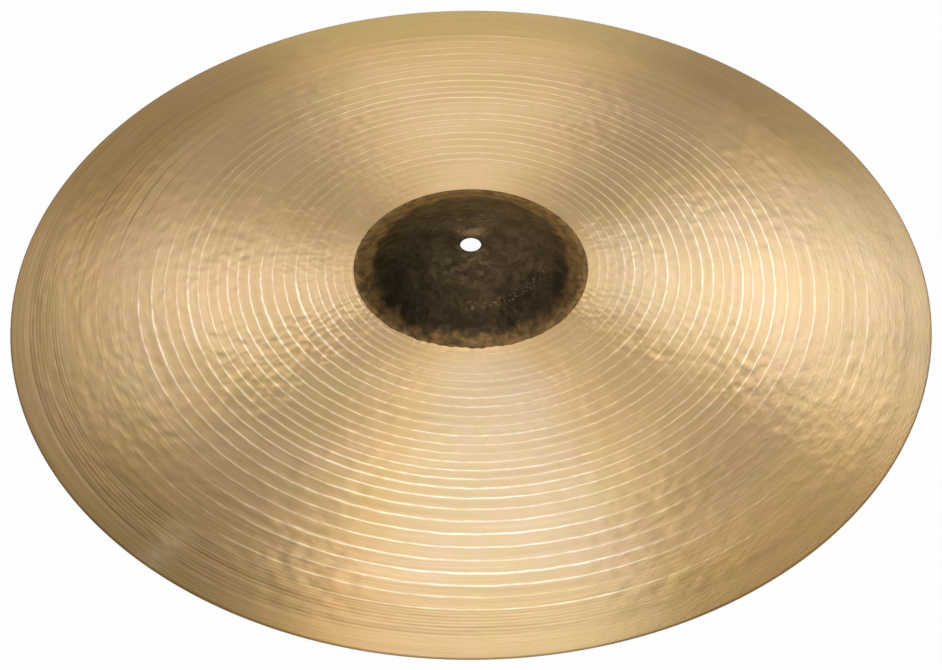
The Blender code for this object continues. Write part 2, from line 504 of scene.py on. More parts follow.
class Skin:
    """Rows of points, in order along the section, and the faces between them."""

    def __init__(self):
        self.rows = []

    def add(self, sectors, radius, height, tilt, lift=0, crest=0, finish=LATHED, winds=False,
            stub=False):
        """Adds a row. Each value is one number, or has one for each point of the row. The
        finish is that of the band from this row to the next."""
        angles = round_angles(sectors)
        across = radius + lift * np.sin(tilt)
        up = height + lift * np.cos(tilt) + 0 * angles
        points = np.stack([across * np.cos(angles), across * np.sin(angles), up], 1)
        kept = 1 if stub else sectors
        self.rows.append(Row(points[:kept], (crest + 0 * angles)[:kept], finish, winds, stub))

    def add_stations(self, sectors, stations, finish, crest=0):
        for radius, height, tilt in stations:
            self.add(sectors, radius, height, tilt, 0, crest, finish)

    def places(self, rim_row):
        """Each point's height in the texture layout."""
        section = np.array([row.points[0] for row in self.rows + self.rows[:1]])
        across = np.hypot(section[:, 0], section[:, 1])
        steps = np.hypot(np.diff(across), np.diff(section[:, 2]))
        along = np.concatenate([[0], np.cumsum(steps)])
        level = np.interp(along, (0, along[rim_row], along[-1]), (0, TOP_SHARE, 1))
        places = [np.full(len(row.points), level[number]) for number, row in enumerate(self.rows)]
        winding = [number for number, row in enumerate(self.rows) if row.winds]
        inner, outer = winding[0] - 1, winding[-1] + 1
        for number in winding:
            kept = len(places[number])
            low, here, high = (np.hypot(*self.rows[row].points[:kept, :2].T)
                               for row in (inner, number, outer))
            share = (here - low) / (high - low)
            places[number] = level[inner] + (level[outer] - level[inner]) * share
        return places

    def corners(self, number, first, places):
        """Corners round a row, each a point and its place in the texture layout, up to where its
        end meets on."""
        row = self.rows[number]
        count = len(row.points)
        onward = number + ROWS_A_TURN if row.winds else number
        corners = [(first[number] + here, here / count, places[number][here])
                   for here in range(count)]
        return corners + [(first[onward], 1.0, places[onward][0])]

    def faces(self, places):
        """The faces between all the rows, the layout of their corners, and their finishes."""
        first = np.cumsum([0] + [len(row.points) for row in self.rows]).tolist()
        faces, layout, finishes = [], [], []
        whole = [number for number, row in enumerate(self.rows) if not row.stub]
        for number, following in zip(whole, whole[1:] + whole[:1]):
            near, far = (self.corners(row, first, places) for row in (number, following))
            if following == 0:
                far = [(point, along, 1.0) for point, along, _ in far]
            before = len(faces)
            here, there = self.rows[number], self.rows[following]
            if there.winds and not here.winds:
                starts = range(following, following + ROWS_A_TURN)
                chain = [(first[row], 1.0, places[row][0]) for row in starts]
                join(faces, layout, near[:-1], far[:-1])
                fan(faces, layout, far[-2], [far[-1], *chain[::-1], near[-1], near[-2]])
            elif here.winds and not there.winds:
                ends = range(number + 1, number + 1 + ROWS_A_TURN)
                chain = [(first[row], 0.0, places[row][0]) for row in ends]
                fan(faces, layout, near[1], [near[0], *chain, far[0], far[1]])
                join(faces, layout, near[1:], far[1:])
            else:
                join(faces, layout, near, far)
            finishes += [here.finish] * (len(faces) - before)
        return faces, layout, finishes

    def mesh(self, name, rim_row):
        """The closed mesh of all the rows, with its texture layout and its crest values, which the
        bronze's colour turns into burnish, painted highlight and painted shade.
        """
        faces, layout, finishes = self.faces(self.places(rim_row))
        made = bpy.data.meshes.new(name)
        made.from_pydata(np.concatenate([row.points for row in self.rows]), [], faces)
        uv = made.uv_layers.new(name="OFBake")
        uv.data.foreach_set("uv", np.array(layout, np.float32).ravel())
        crest = made.attributes.new("crest", "FLOAT", "POINT")
        crests = np.concatenate([row.crest for row in self.rows])
        crest.data.foreach_set("value", crests.astype(np.float32))
        made.polygons.foreach_set("material_index", np.array(finishes, np.int32))
        made.shade_smooth()
        return made


def round_angles(sectors):
    return np.arange(sectors) * math.tau / sectors


def fill(faces, layout, corners):
    faces.append([corner[0] for corner in corners])
    layout.extend(corner[1:] for corner in corners)


def fan(faces, layout, tip, corners):
    for this, onward in zip(corners, corners[1:]):
        fill(faces, layout, (tip, this, onward))


def join(faces, layout, near, far):
    """Faces between two edges that have as many corners, or of which one has twice as many."""
    if len(near) == len(far):
        for here in range(len(near) - 1):
            fill(faces, layout, (near[here], far[here], far[here + 1], near[here + 1]))
    elif len(near) < len(far):
        for here in range(len(near) - 1):
            fan(faces, layout, far[2 * here + 1],
                (far[2 * here + 2], near[here + 1], near[here], far[2 * here]))
    else:
        for here in range(len(far) - 1):
            fan(faces, layout, near[2 * here + 1],
                (near[2 * here], far[here], far[here + 1], near[2 * here + 2]))


# Points in a row, fewer where the metal is plain
COARSE, FINE = 180, 360
HOLE_ROUND = 0.3 * MM
EDGE_ROUND = 0.2 * MM
EDGE_LAND = 1.2 * MM
EDGE_DARKENING = -0.8
CORNER_STEPS = 3


def add_crown(skin, shape):
    """The hole's worn top corner and the land."""
    hole = shape.hole_diameter / 2
    middle = (hole + HOLE_ROUND, shape.height - HOLE_ROUND)
    skin.add_stations(COARSE, arc(middle, HOLE_ROUND, -math.pi / 2, 0, CORNER_STEPS), FIRED)
    skin.add(COARSE, hole + shape.land_width / 2, shape.height, 0, 0, 0, FIRED)


def add_bell(skin, shape, profile, dents, border):
    """The hammered bell from the land to the foot, where its rows bend to the ragged border."""
    foot = shape.bell_diameter / 2
    land = shape.hole_diameter / 2 + shape.land_width
    middle = 0.6 * foot
    for sectors, radii, shift in (
        (COARSE, np.arange(land, middle, 1.5 * MM), 0),
        (FINE, np.linspace(middle, foot, 18), border),
    ):
        angles = round_angles(sectors)
        bend = smooth_step(radii, foot - 18 * MM, foot)[:, None]
        grid = radii[:, None] + shift * bend + 0 * angles
        ease = smooth_step(grid, land - 1 * MM, land + 6 * MM)
        lifts = -press(dents, grid, angles) * ease
        for across, lift in zip(grid, lifts):
            height, tilt = (np.interp(across, profile[0], row) for row in profile[1:])
            skin.add(sectors, across, height, tilt, lift, 0, FIRED)


def bow_grids(shape, lathe, rng, border):
    """Radii, lifts and crest values of the small step down from the bell, of the spiral cut and of
    the fine lines, each with whether its rows wind; the crest values paint burnish, highlights and
    shade into the colour. The lathe's axis lay beside the disc's middle, which moves all of them
    but the rim's own rings."""
    angles = round_angles(FINE)
    foot, rim = shape.bell_diameter / 2, shape.diameter / 2
    shift = lathe.runout * np.cos(angles - lathe.runout_azimuth)
    shift = shift + wander(rng, angles, (2, 3, 5, 8, 13), 0.12 * MM)
    step = np.array([[foot + 0.15 * MM], [foot + 0.45 * MM]]) + border
    radii, lifts, crests = spiral_cut(shape, lathe, rng, angles)
    radii = radii + shift

    # the first two turns stay clear of the step
    held = 2 * ROWS_A_TURN
    clear = step[1] + 0.2 * MM * np.arange(1, held + 1)[:, None]
    radii[:held] = np.maximum(radii[:held], clear)

    grids = [(step, np.full(step.shape, -0.05 * MM), 0 * step, False)]
    grids.append((radii, lifts, crests, True))
    for radius, lift, crest in rim_lines(shape, lathe, rng, angles):
        across = radius + shift * smooth_step(rim - radius, 8 * MM, 24 * MM)
        grids.append((across[None], lift[None], crest[None], False))
    return grids


def add_bow(skin, shape, profile, grids, dents):
    """The lathed bow with its hammer marks and its fold, which all end just inside the rim."""
    angles = round_angles(FINE)
    rim = shape.diameter / 2
    fold = FOLD_DEPTH * hump(angles, FOLD_AZIMUTH, 1.5)
    for radii, lifts, crests, winds in grids:
        dips = press(dents, radii, angles) + fold * smooth_step(radii, FOLD_START, FOLD_FULL)
        lifts = lifts - dips * smooth_step(rim - radii, 1 * MM, 12 * MM)
        heights, tilts = (np.interp(radii, profile[0], row) for row in profile[1:])
        last_turn = len(radii) - ROWS_A_TURN
        for number, row in enumerate(zip(radii, heights, tilts, lifts, crests)):
            skin.add(FINE, *row, LATHED, winds, winds and number >= last_turn)


def add_edge(skin, shape):
    """The squared edge, coloured dark with the score colour, with its two round corners, and the
    land it rests on. Returns the number of its lowest row."""
    rim = shape.diameter / 2
    _, top, tilt = bow_station(shape, rim)
    upper = arc((rim - EDGE_ROUND, top - EDGE_ROUND), EDGE_ROUND, tilt, math.pi / 2, CORNER_STEPS)
    lower = arc((rim - EDGE_ROUND, EDGE_ROUND), EDGE_ROUND, math.pi / 2, math.pi, CORNER_STEPS)
    skin.add_stations(FINE, upper + lower, LATHED, EDGE_DARKENING)
    lowest = len(skin.rows) - 1
    skin.add(FINE, rim - EDGE_LAND, 0, math.pi)
    return lowest


def add_underside(skin, shape, lathe, rng):
    """The lathed underside with its wide-set ridges, whose rows lie from the rim inwards."""
    angles = round_angles(COARSE)
    foot, rim = shape.bell_diameter / 2, shape.diameter / 2
    skin.add_stations(COARSE, [below(shape, bow_station(shape, rim - 4 * MM))], LATHED)
    turned = []
    for ridge in np.arange(foot + 8 * MM, rim - 8 * MM, 11 * MM):
        bold = 1 + wander(rng, angles, (1, 2, 3, 5), 0.2)
        for place, lift, burnish_and_highlight in RIDGE_SECTION[1:-1]:
            turned.append((ridge + place * lathe.ridge_width, lift * bold, burnish_and_highlight * bold))
    for radius, lift, burnish_and_highlight in reversed(turned):
        station = below(shape, bow_station(shape, radius))
        skin.add(COARSE, *station, lathe.ridge_height * lift, 0.5 * burnish_and_highlight)


def add_cup(skin, shape):
    """The bell's fired cup, and the hole's worn lower corner."""
    cup = [below(shape, station) for station in reversed(bell_stations(shape, 15, 4))]
    under = shape.height - shape.crown_thickness
    middle = (shape.hole_diameter / 2 + HOLE_ROUND, under + HOLE_ROUND)
    corner = arc(middle, HOLE_ROUND, math.pi, 1.5 * math.pi, CORNER_STEPS)
    skin.add_stations(COARSE, cup + corner, FIRED)


def turn_cymbal(shape, lathe, hammer):
    """Builds the skin of the whole cymbal and returns its mesh."""
    rng = np.random.default_rng(hammer.seed)
    skin = Skin()
    profile = top_profile(shape)
    foot, rim = shape.bell_diameter / 2, shape.diameter / 2
    land = shape.hole_diameter / 2 + shape.land_width

    add_crown(skin, shape)
    dents = dents_in_rows(rng, land - 2 * MM, foot - 1 * MM, hammer.bell_mark, hammer.bell_depth,
                          BELL_SPACING)
    border = ragged_border(rng, round_angles(FINE))
    add_bell(skin, shape, profile, dents, border)

    grids = bow_grids(shape, lathe, rng, border)
    dents = dents_in_rows(rng, foot + 9 * MM, rim - 8 * MM, hammer.bow_mark, hammer.bow_depth,
                          BOW_SPACING)
    add_bow(skin, shape, profile, grids, dents)

    rim_row = add_edge(skin, shape)
    add_underside(skin, shape, lathe, rng)
    add_cup(skin, shape)
    return skin.mesh("cymbal_skin", rim_row)


# Finishes

# Settings that several nodes share
MIX = {"data_type": "RGBA"}
TINT = {"data_type": "RGBA", "blend_type": "MULTIPLY"}
SMOOTH = {"interpolation_type": "SMOOTHSTEP"}
DOT = {"operation": "DOT_PRODUCT"}
LENGTH = {"operation": "LENGTH"}
TIMES = {"operation": "MULTIPLY"}
SHARE = {"operation": "MULTIPLY", "use_clamp": True}
TIMES_AND_PLUS = {"operation": "MULTIPLY_ADD"}
GREATER = {"operation": "MAXIMUM"}

# Sockets of a node that mixes colours: how much of the second colour, both colours, the result
HOW_MUCH, FIRST, SECOND, MIXED = 0, 6, 7, 2


def wire(tree, kind, settings=None, inputs=None, output=0):
    """Adds a shader node, makes its settings, fills or links its inputs, and returns an output."""
    made = tree.nodes.new("ShaderNode" + kind)
    for name, value in (settings or {}).items():
        setattr(made, name, value)
    for name, value in (inputs or {}).items():
        if isinstance(value, bpy.types.NodeSocket):
            tree.links.new(value, made.inputs[name])
        else:
            made.inputs[name].default_value = value
    return made.outputs[output]


def new_finish(name):
    """A material with its node tree and its shader."""
    finish = bpy.data.materials.new(name)
    finish.use_nodes = True
    return finish, finish.node_tree, finish.node_tree.nodes["Principled BSDF"]


def from_axis(tree):
    """Distance from the axis in millimetres, and the flat direction away from it."""
    place = wire(tree, "TexCoord", None, None, "Object")
    flat = wire(tree, "VectorMath", TIMES, {0: place, 1: (1, 1, 0)})
    radius = wire(tree, "VectorMath", LENGTH, {0: flat}, "Value")
    radius = wire(tree, "Math", TIMES, {0: radius, 1: 1 / MM})
    return radius, wire(tree, "VectorMath", {"operation": "NORMALIZE"}, {0: flat})


def turned_noise(tree, radius, outward, around, across, detail):
    """Noise that a lathe would leave: about `around` patches in a turn, each `across` mm wide."""
    ring = wire(tree, "VectorMath", {"operation": "SCALE"}, {0: outward, "Scale": around / math.tau})
    depth = wire(tree, "Math", {"operation": "DIVIDE"}, {0: radius, 1: across})
    place = wire(tree, "CombineXYZ", None, {"Z": depth})
    place = wire(tree, "VectorMath", {"operation": "ADD"}, {0: ring, 1: place})
    return wire(tree, "TexNoise", None, {"Vector": place, "Scale": 1.0, "Detail": detail})


def flat_towards(azimuth):
    """The flat direction at an azimuth in degrees."""
    turn = math.radians(azimuth)
    return (math.cos(turn), math.sin(turn), 0)


# The lathed bow

# Azimuth and reach in degrees, where it starts and where it is full in mm from the axis, and
# what it does to red, green and blue. The rows at 0, 90, 186 and 276 degrees are painted
# highlights, paler where the bow tie is bright; those at 140 and 282 are tarnish on the rim;
# those at 88, 143 and 41 are painted shade on the rim; the one at 324 is painted light, a
# brighter rim in front on the right.
BOW_STAINS_AND_PAINTED_LIGHT = (
    (0, 34, 60, 90, (0.93, 1.01, 1.22)),
    (90, 26, 195, 150, (1.01, 1.05, 1.15)),
    (186, 31, 60, 90, (1.00, 1.03, 1.18)),
    (276, 25, 60, 90, (0.92, 1.03, 1.29)),
    (140, 170, 195, 250, (1.0, 0.96, 0.80)),
    (88, 40, 232, 252, (0.88, 0.94, 0.88)),
    (282, 52, 226, 252, (0.98, 0.94, 0.82)),
    (143, 30, 213, 250, (0.80, 0.79, 0.73)),
    (41, 25, 228, 252, (0.80, 0.80, 0.74)),
    (324, 28, 205, 260, (1.34, 1.31, 1.22)),
)

# Clouds of thin tarnish: patches in a turn, width in mm, and how strong they are. They lie
# between olive and rose.
TARNISH_CLOUDS = ((130, 30, 0.45), (18, 60, 0.4))
OLIVE, ROSE = (0.97, 1.0, 0.90, 1), (1.03, 0.985, 1.06, 1)

# Heights in metres: a small hammer's marks where it fell lightly and hard, the tool's lines,
# and its chatter near the bell and near the rim.
LIGHT_MARK, HARD_MARK = 0.0001, 0.00024
LINE_HEIGHT = 0.00003
INNER_CHATTER, OUTER_CHATTER = 0.00003, 0.00008


def burnish_and_highlight(tree, radius, outward, colours):
    """Colour of the bare bronze: the crests are painted lighter here and there, partly as burnish
    and partly as a painted highlight. A negative crest value paints the scores darker, partly as
    tarnish and partly as painted shade, and colours the edge dark."""
    crest = wire(tree, "Attribute", {"attribute_name": "crest"}, None, "Fac")
    wear = turned_noise(tree, radius, outward, 160, 2.5, 2.0)
    wear = wire(tree, "MapRange", SMOOTH,
                {"Value": wear, "From Min": 0.3, "From Max": 0.7, "To Min": 0.5, "To Max": 1.2})
    shine = wire(tree, "Math", SHARE, {0: crest, 1: wear})
    dull = wire(tree, "Math", SHARE, {0: crest, 1: -1.0})
    colour = wire(tree, "Mix", MIX, {HOW_MUCH: shine, FIRST: (*colours.lathed, 1),
                                     SECOND: (*colours.ridge, 1)}, MIXED)
    return wire(tree, "Mix", MIX, {HOW_MUCH: dull, FIRST: colour,
                                   SECOND: (*colours.score, 1)}, MIXED)


def draw_lines(tree, radius, lines, left, colour):
    """The tool's fine lines show most towards the rim and on the left."""
    weight = wire(tree, "MapRange", SMOOTH, {"Value": radius, "From Min": 190.0, "From Max": 226.0,
                                             "To Min": 0.16, "To Max": 0.66})
    weight = wire(tree, "Math", TIMES, {0: weight, 1: left})
    value = wire(tree, "Math", {"operation": "SUBTRACT"}, {0: lines, 1: 0.5})
    value = wire(tree, "Math", TIMES_AND_PLUS, {0: value, 1: weight, 2: 1.0})
    value = wire(tree, "CombineColor", None, {0: value, 1: value, 2: value})
    return wire(tree, "Mix", TINT, {HOW_MUCH: 1.0, FIRST: colour, SECOND: value}, MIXED)


def cloud_with_tarnish(tree, radius, outward, colour):
    """The faint olive and rose of thin tarnish, smeared outwards."""
    for around, across, strength in TARNISH_CLOUDS:
        cloud = turned_noise(tree, radius, outward, around, across, 1.0)
        cloud = wire(tree, "MapRange", SMOOTH, {"Value": cloud, "From Min": 0.3, "From Max": 0.7})
        cloud = wire(tree, "Mix", MIX, {HOW_MUCH: cloud, FIRST: OLIVE, SECOND: ROSE}, MIXED)
        colour = wire(tree, "Mix", TINT, {HOW_MUCH: strength, FIRST: colour, SECOND: cloud}, MIXED)
    return colour


def stain_and_paint_light(tree, radius, outward, colour):
    """The bow is painted a little paler on four sides, as painted highlights where the bow tie is
    bright, and tarnish browns its rim. The rim is painted darker at the far end of the back
    highlight and in two places at the back, as painted shade, and brighter in one place in front
    on the right, as painted light."""
    for azimuth, reach, start, full, tone in BOW_STAINS_AND_PAINTED_LIGHT:
        near = wire(tree, "VectorMath", DOT, {0: outward, 1: flat_towards(azimuth)}, "Value")
        near = wire(tree, "MapRange", SMOOTH,
                    {"Value": near, "From Min": math.cos(math.radians(reach)), "From Max": 1.0})
        out = wire(tree, "MapRange", SMOOTH, {"Value": radius, "From Min": start, "From Max": full})
        near = wire(tree, "Math", TIMES, {0: near, 1: out})
        colour = wire(tree, "Mix", TINT, {HOW_MUCH: near, FIRST: colour, SECOND: (*tone, 1)}, MIXED)
    return colour


def lathed_relief(tree, radius, outward, lines, left):
    """Marks of a small hammer, which end short of the rim, the tool's lines, and its chatter,
    which grows towards the rim and is faint on the left."""
    mark = turned_noise(tree, radius, outward, 150, 4.5, 0.5)
    force = turned_noise(tree, radius, outward, 12, 40, 1.0)
    force = wire(tree, "MapRange", SMOOTH, {"Value": force, "From Min": 0.35, "From Max": 0.65,
                                            "To Min": LIGHT_MARK, "To Max": HARD_MARK})
    inside = wire(tree, "MapRange", SMOOTH, {"Value": radius, "From Min": 270.0, "From Max": 262.0})
    mark = wire(tree, "Math", TIMES, {0: mark, 1: force})
    mark = wire(tree, "Math", TIMES, {0: mark, 1: inside})
    relief = wire(tree, "Math", TIMES_AND_PLUS, {0: lines, 1: LINE_HEIGHT, 2: mark})
    chatter = turned_noise(tree, radius, outward, 330, 1.0, 1.0)
    height = wire(tree, "MapRange", SMOOTH, {"Value": radius, "From Min": 150.0, "From Max": 215.0,
                                             "To Min": INNER_CHATTER, "To Max": OUTER_CHATTER})
    quiet = wire(tree, "MapRange", SMOOTH,
                 {"Value": left, "From Min": 0.5, "From Max": 1.0, "To Min": 1.0, "To Max": 0.4})
    height = wire(tree, "Math", TIMES, {0: height, 1: quiet})
    relief = wire(tree, "Math", TIMES_AND_PLUS, {0: chatter, 1: height, 2: relief})
    return wire(tree, "Bump", None, {"Strength": 1.0, "Distance": 1.0, "Height": relief})


def lathed_bronze(colours):
    """Bell bronze bared by a lathe tool: fine round grooves smear each light into a bow tie of
    brightness across the disc, and ridges stand out as pale rings, partly burnished and partly
    painted lighter as highlights."""
    finish, tree, shader = new_finish("lathed_bell_bronze")
    radius, outward = from_axis(tree)
    lines = turned_noise(tree, radius, outward, 20, 0.9, 2.0)
    left = wire(tree, "VectorMath", DOT, {0: outward, 1: (-0.98, -0.17, 0)}, "Value")
    left = wire(tree, "MapRange", SMOOTH,
                {"Value": left, "From Min": -0.1, "From Max": 0.7, "To Min": 0.35, "To Max": 1.0})

    colour = burnish_and_highlight(tree, radius, outward, colours)
    colour = draw_lines(tree, radius, lines, left, colour)
    colour = cloud_with_tarnish(tree, radius, outward, colour)
    # tarnish, and painted highlights, shade and light on the bow
    colour = stain_and_paint_light(tree, radius, outward, colour)
    tree.links.new(colour, shader.inputs["Base Color"])
    normal = lathed_relief(tree, radius, outward, lines, left)
    tree.links.new(normal, shader.inputs["Normal"])

    shader.inputs["Metallic"].default_value = 1
    shader.inputs["Roughness"].default_value = 0.316
    shader.inputs["Anisotropic"].default_value = 0.83
    shader.inputs["Anisotropic Rotation"].default_value = 0.25
    tangent = wire(tree, "Tangent", {"direction_type": "RADIAL", "axis": "Z"})
    tree.links.new(tangent, shader.inputs["Tangent"])
    return finish


# The fired bell

# Sizes of its patterns in mm: the clouds of the skin, the fringe and the patches of its margin,
# dings and painted glints, freckles, painted highlights on facets in front of the hole, the
# hammer's facets and the fine scale.
CLOUD, FRINGE, PATCH = 12.5, 9.09, 6.667
DING, FRECKLE, FACET_LIGHT = 1.923, 4.762, 4.0
FACET, SCALE = 5.0, 3.03

# Heights in metres
FACET_HEIGHT, SCALE_HEIGHT = 0.0004, 0.0002

# What the skin's left side does to red, green and blue
DARK_LEFT = (0.66, 0.72, 0.7, 1)

# The margin starts, and is full, where the radius comes to this many mm. Its fringe first adds
# something between nothing and MARGIN_RAGGED to the radius, and the back adds MARGIN_LEAN.
MARGIN_START, MARGIN_FULL = 64.0, 70.0
MARGIN_RAGGED, MARGIN_LEAN = 16.0, 3.5

# Most painted glints, spots of bare metal colour, lie in an arc of this radius in mm. The rubbed
# spot is about half as deep as it is wide, and its middle lies 1 mm right of the axis and 11 mm
# behind it.
GLINT_ARC = 45.5
RUB_STRETCH, RUB_SHIFT = (1.0, 2.2, 0.0), (-0.001, -0.024, 0.0)

# How much of the bare metal colour shows in the dings, the painted glints, the painted facet
# highlights and the rubbed spot
BARE_AND_LIT_SHARE = 0.24


def fired_skin(tree, place, radius, outward, back, colours):
    """Clouds in the oxide skin, streaks of turning painted lighter behind the hole as a highlight,
    and a darker left side.
    """
    cloud = wire(tree, "TexNoise", None,
                 {"Vector": place, "Scale": 1 / (CLOUD * MM), "Detail": 6.0, "Roughness": 0.68})
    cloud = wire(tree, "MapRange", SMOOTH, {"Value": cloud, "From Min": 0.38, "From Max": 0.64})
    colour = wire(tree, "Mix", MIX, {HOW_MUCH: cloud, FIRST: (*colours.fired, 1),
                                     SECOND: (*colours.umber, 1)}, MIXED)
    # streaks of turning, painted lighter only behind the hole, as a painted highlight
    streak_highlight = turned_noise(tree, radius, outward, 34, 1.1, 2.0)
    streak_highlight = wire(tree, "MapRange", SMOOTH, {"Value": streak_highlight, "From Min": 0.52, "From Max": 0.66})
    behind = wire(tree, "MapRange", SMOOTH,
                  {"Value": back, "From Min": 0.3, "From Max": 0.9, "To Max": 0.24})
    streak_highlight = wire(tree, "Math", SHARE, {0: streak_highlight, 1: behind})
    colour = wire(tree, "Mix", MIX, {HOW_MUCH: streak_highlight, FIRST: colour,
                                     SECOND: (*colours.margin, 1)}, MIXED)
    left = wire(tree, "VectorMath", DOT, {0: outward, 1: (-0.97, -0.25, 0)}, "Value")
    left = wire(tree, "MapRange", SMOOTH, {"Value": left, "From Min": 0.1, "From Max": 0.95})
    return wire(tree, "Mix", TINT, {HOW_MUCH: left, FIRST: colour, SECOND: DARK_LEFT}, MIXED)


def thin_margin(tree, place, radius, back):
    """How thin the skin is near the bell's foot. It reaches further up at the back."""
    fringe = wire(tree, "TexNoise", None,
                  {"Vector": place, "Scale": 1 / (FRINGE * MM), "Detail": 6.0, "Roughness": 0.6})
    fringe = wire(tree, "Math", TIMES_AND_PLUS, {0: fringe, 1: MARGIN_RAGGED, 2: radius})
    fringe = wire(tree, "Math", TIMES_AND_PLUS, {0: back, 1: MARGIN_LEAN, 2: fringe})
    thin = wire(tree, "MapRange", SMOOTH,
                {"Value": fringe, "From Min": MARGIN_START, "From Max": MARGIN_FULL})
    patch = wire(tree, "TexNoise", None,
                 {"Vector": place, "Scale": 1 / (PATCH * MM), "Detail": 4.0, "Roughness": 0.65})
    patch = wire(tree, "MapRange", None,
                 {"Value": patch, "From Min": 0.4, "From Max": 0.58, "To Min": 0.4, "To Max": 1.0})
    return wire(tree, "Math", SHARE, {0: thin, 1: patch})


def dings_and_glints(tree, place, radius, outward, chance):
    """Spots of bare metal colour: in an arc in front they are painted glints, and anywhere else
    freckles of bare metal.
    """
    ding = wire(tree, "TexNoise", None, {"Vector": place, "Scale": 1 / (DING * MM), "Detail": 1.0})
    ding = wire(tree, "MapRange", SMOOTH, {"Value": ding, "From Min": 0.56, "From Max": 0.68})
    front = wire(tree, "VectorMath", DOT, {0: outward, 1: (0.56, -0.83, 0)}, "Value")
    front = wire(tree, "MapRange", SMOOTH, {"Value": front, "From Min": 0.62, "From Max": 0.85})
    apart = wire(tree, "Math", {"operation": "SUBTRACT"}, {0: radius, 1: GLINT_ARC})
    apart = wire(tree, "Math", {"operation": "ABSOLUTE"}, {0: apart})
    ring = wire(tree, "MapRange", SMOOTH, {"Value": apart, "From Min": 3.5, "From Max": 1.0})
    ring = wire(tree, "Math", SHARE, {0: ring, 1: front})
    freckle = wire(tree, "MapRange", SMOOTH,
                   {"Value": chance, "From Min": 0.6, "From Max": 0.75, "To Max": 0.5})
    where = wire(tree, "Math", GREATER, {0: ring, 1: freckle})
    return wire(tree, "Math", SHARE, {0: ding, 1: where})


def rubbed_spot(tree, place, chance):
    """The ragged spot behind the hole where the stand's felt has rubbed."""
    rub = wire(tree, "VectorMath", TIMES_AND_PLUS, {0: place, 1: RUB_STRETCH, 2: RUB_SHIFT})
    rub = wire(tree, "VectorMath", LENGTH, {0: rub}, "Value")
    rub = wire(tree, "Math", TIMES_AND_PLUS, {0: chance, 1: -0.02, 2: rub})
    return wire(tree, "MapRange", SMOOTH, {"Value": rub, "From Min": 0.001, "From Max": -0.009})


def painted_facet_light(tree, place, radius, back):
    """Facets in front of the hole painted in bare metal colour, as painted highlights where the
    hammer's dents catch the light.
    """
    facet_light = wire(tree, "TexNoise", None, {"Vector": place, "Scale": 1 / (FACET_LIGHT * MM), "Detail": 1.0})
    facet_light = wire(tree, "MapRange", SMOOTH, {"Value": facet_light, "From Min": 0.48, "From Max": 0.7})
    inner = wire(tree, "MapRange", SMOOTH, {"Value": radius, "From Min": 42.0, "From Max": 18.0})
    before = wire(tree, "MapRange", SMOOTH,
                  {"Value": back, "From Min": 0.2, "From Max": -0.9, "To Max": 0.4})
    facet_light = wire(tree, "Math", SHARE, {0: facet_light, 1: inner})
    return wire(tree, "Math", SHARE, {0: facet_light, 1: before})


def fired_relief(tree, place):
    """Small facets from the hammer, and a fine scale."""
    facet = wire(tree, "TexVoronoi", {"feature": "F1"},
                 {"Vector": place, "Scale": 1 / (FACET * MM)}, "Distance")
    facet = wire(tree, "Math", {"operation": "POWER"}, {0: facet, 1: 2.0})
    facet = wire(tree, "Math", TIMES, {0: facet, 1: FACET_HEIGHT})
    scale = wire(tree, "TexNoise", None, {"Vector": place, "Scale": 1 / (SCALE * MM), "Detail": 2.0})
    relief = wire(tree, "Math", TIMES_AND_PLUS, {0: scale, 1: SCALE_HEIGHT, 2: facet})
    return wire(tree, "Bump", None, {"Strength": 1.0, "Distance": 1.0, "Height": relief})


def fired_bronze(colours):
    """Bell bronze left in its black-brown firing skin: half dull, clouded, hammered by hand, and
    browner where the skin thins out towards the bell's foot. Bare metal shows in freckles and
    where the stand's felt has rubbed behind the hole. Its colour is also painted in an arc of
    glints in front and on facets in front of the hole, as painted highlights, and streaks behind
    the hole are painted lighter, as a highlight."""
    finish, tree, shader = new_finish("fired_bell_bronze")
    radius, outward = from_axis(tree)
    place = wire(tree, "TexCoord", None, None, "Object")
    back = wire(tree, "VectorMath", DOT, {0: outward, 1: (0, 1, 0)}, "Value")
    chance = wire(tree, "TexNoise", None,
                  {"Vector": place, "Scale": 1 / (FRECKLE * MM), "Detail": 2.0})

    colour = fired_skin(tree, place, radius, outward, back, colours)
    thin = thin_margin(tree, place, radius, back)
    colour = wire(tree, "Mix", MIX, {HOW_MUCH: thin, FIRST: colour,
                                     SECOND: (*colours.margin, 1)}, MIXED)
    # the arc of dings and the facets in front of the hole are painted highlights in bare metal colour
    bare_and_lit = wire(tree, "Math", GREATER, {0: dings_and_glints(tree, place, radius, outward, chance),
                                        1: rubbed_spot(tree, place, chance)})
    bare_and_lit = wire(tree, "Math", GREATER, {0: bare_and_lit, 1: painted_facet_light(tree, place, radius, back)})
    bare_and_lit = wire(tree, "Math", SHARE, {0: bare_and_lit, 1: BARE_AND_LIT_SHARE})
    colour = wire(tree, "Mix", MIX, {HOW_MUCH: bare_and_lit, FIRST: colour,
                                     SECOND: (*colours.lathed, 1)}, MIXED)
    tree.links.new(colour, shader.inputs["Base Color"])
    tree.links.new(fired_relief(tree, place), shader.inputs["Normal"])

    shader.inputs["Metallic"].default_value = 1
    shader.inputs["Roughness"].default_value = 0.5
    shader.inputs["Specular Tint"].default_value = (*linear("E7D9C0"), 1)
    return finish


# The stage

FLOOR_GAP = 0.2 * MM
# How much of the floor's colour is plain white light where camera and mirrors see it
FLOOR_GLOW = 0.96

# Sines of the elevations at which the studio's white horizon starts to dim and is as dim as its
# ceiling
HORIZON, OVERHEAD = 0.087, 0.342

# The camera's distance and elevation are counted from the middle of the rim, at this height. It
# aims a little below that, and leans a little.
RIM_LEVEL = 1 * MM
CAMERA_DROP = math.radians(0.71)
CAMERA_LEAN = math.radians(-0.19)


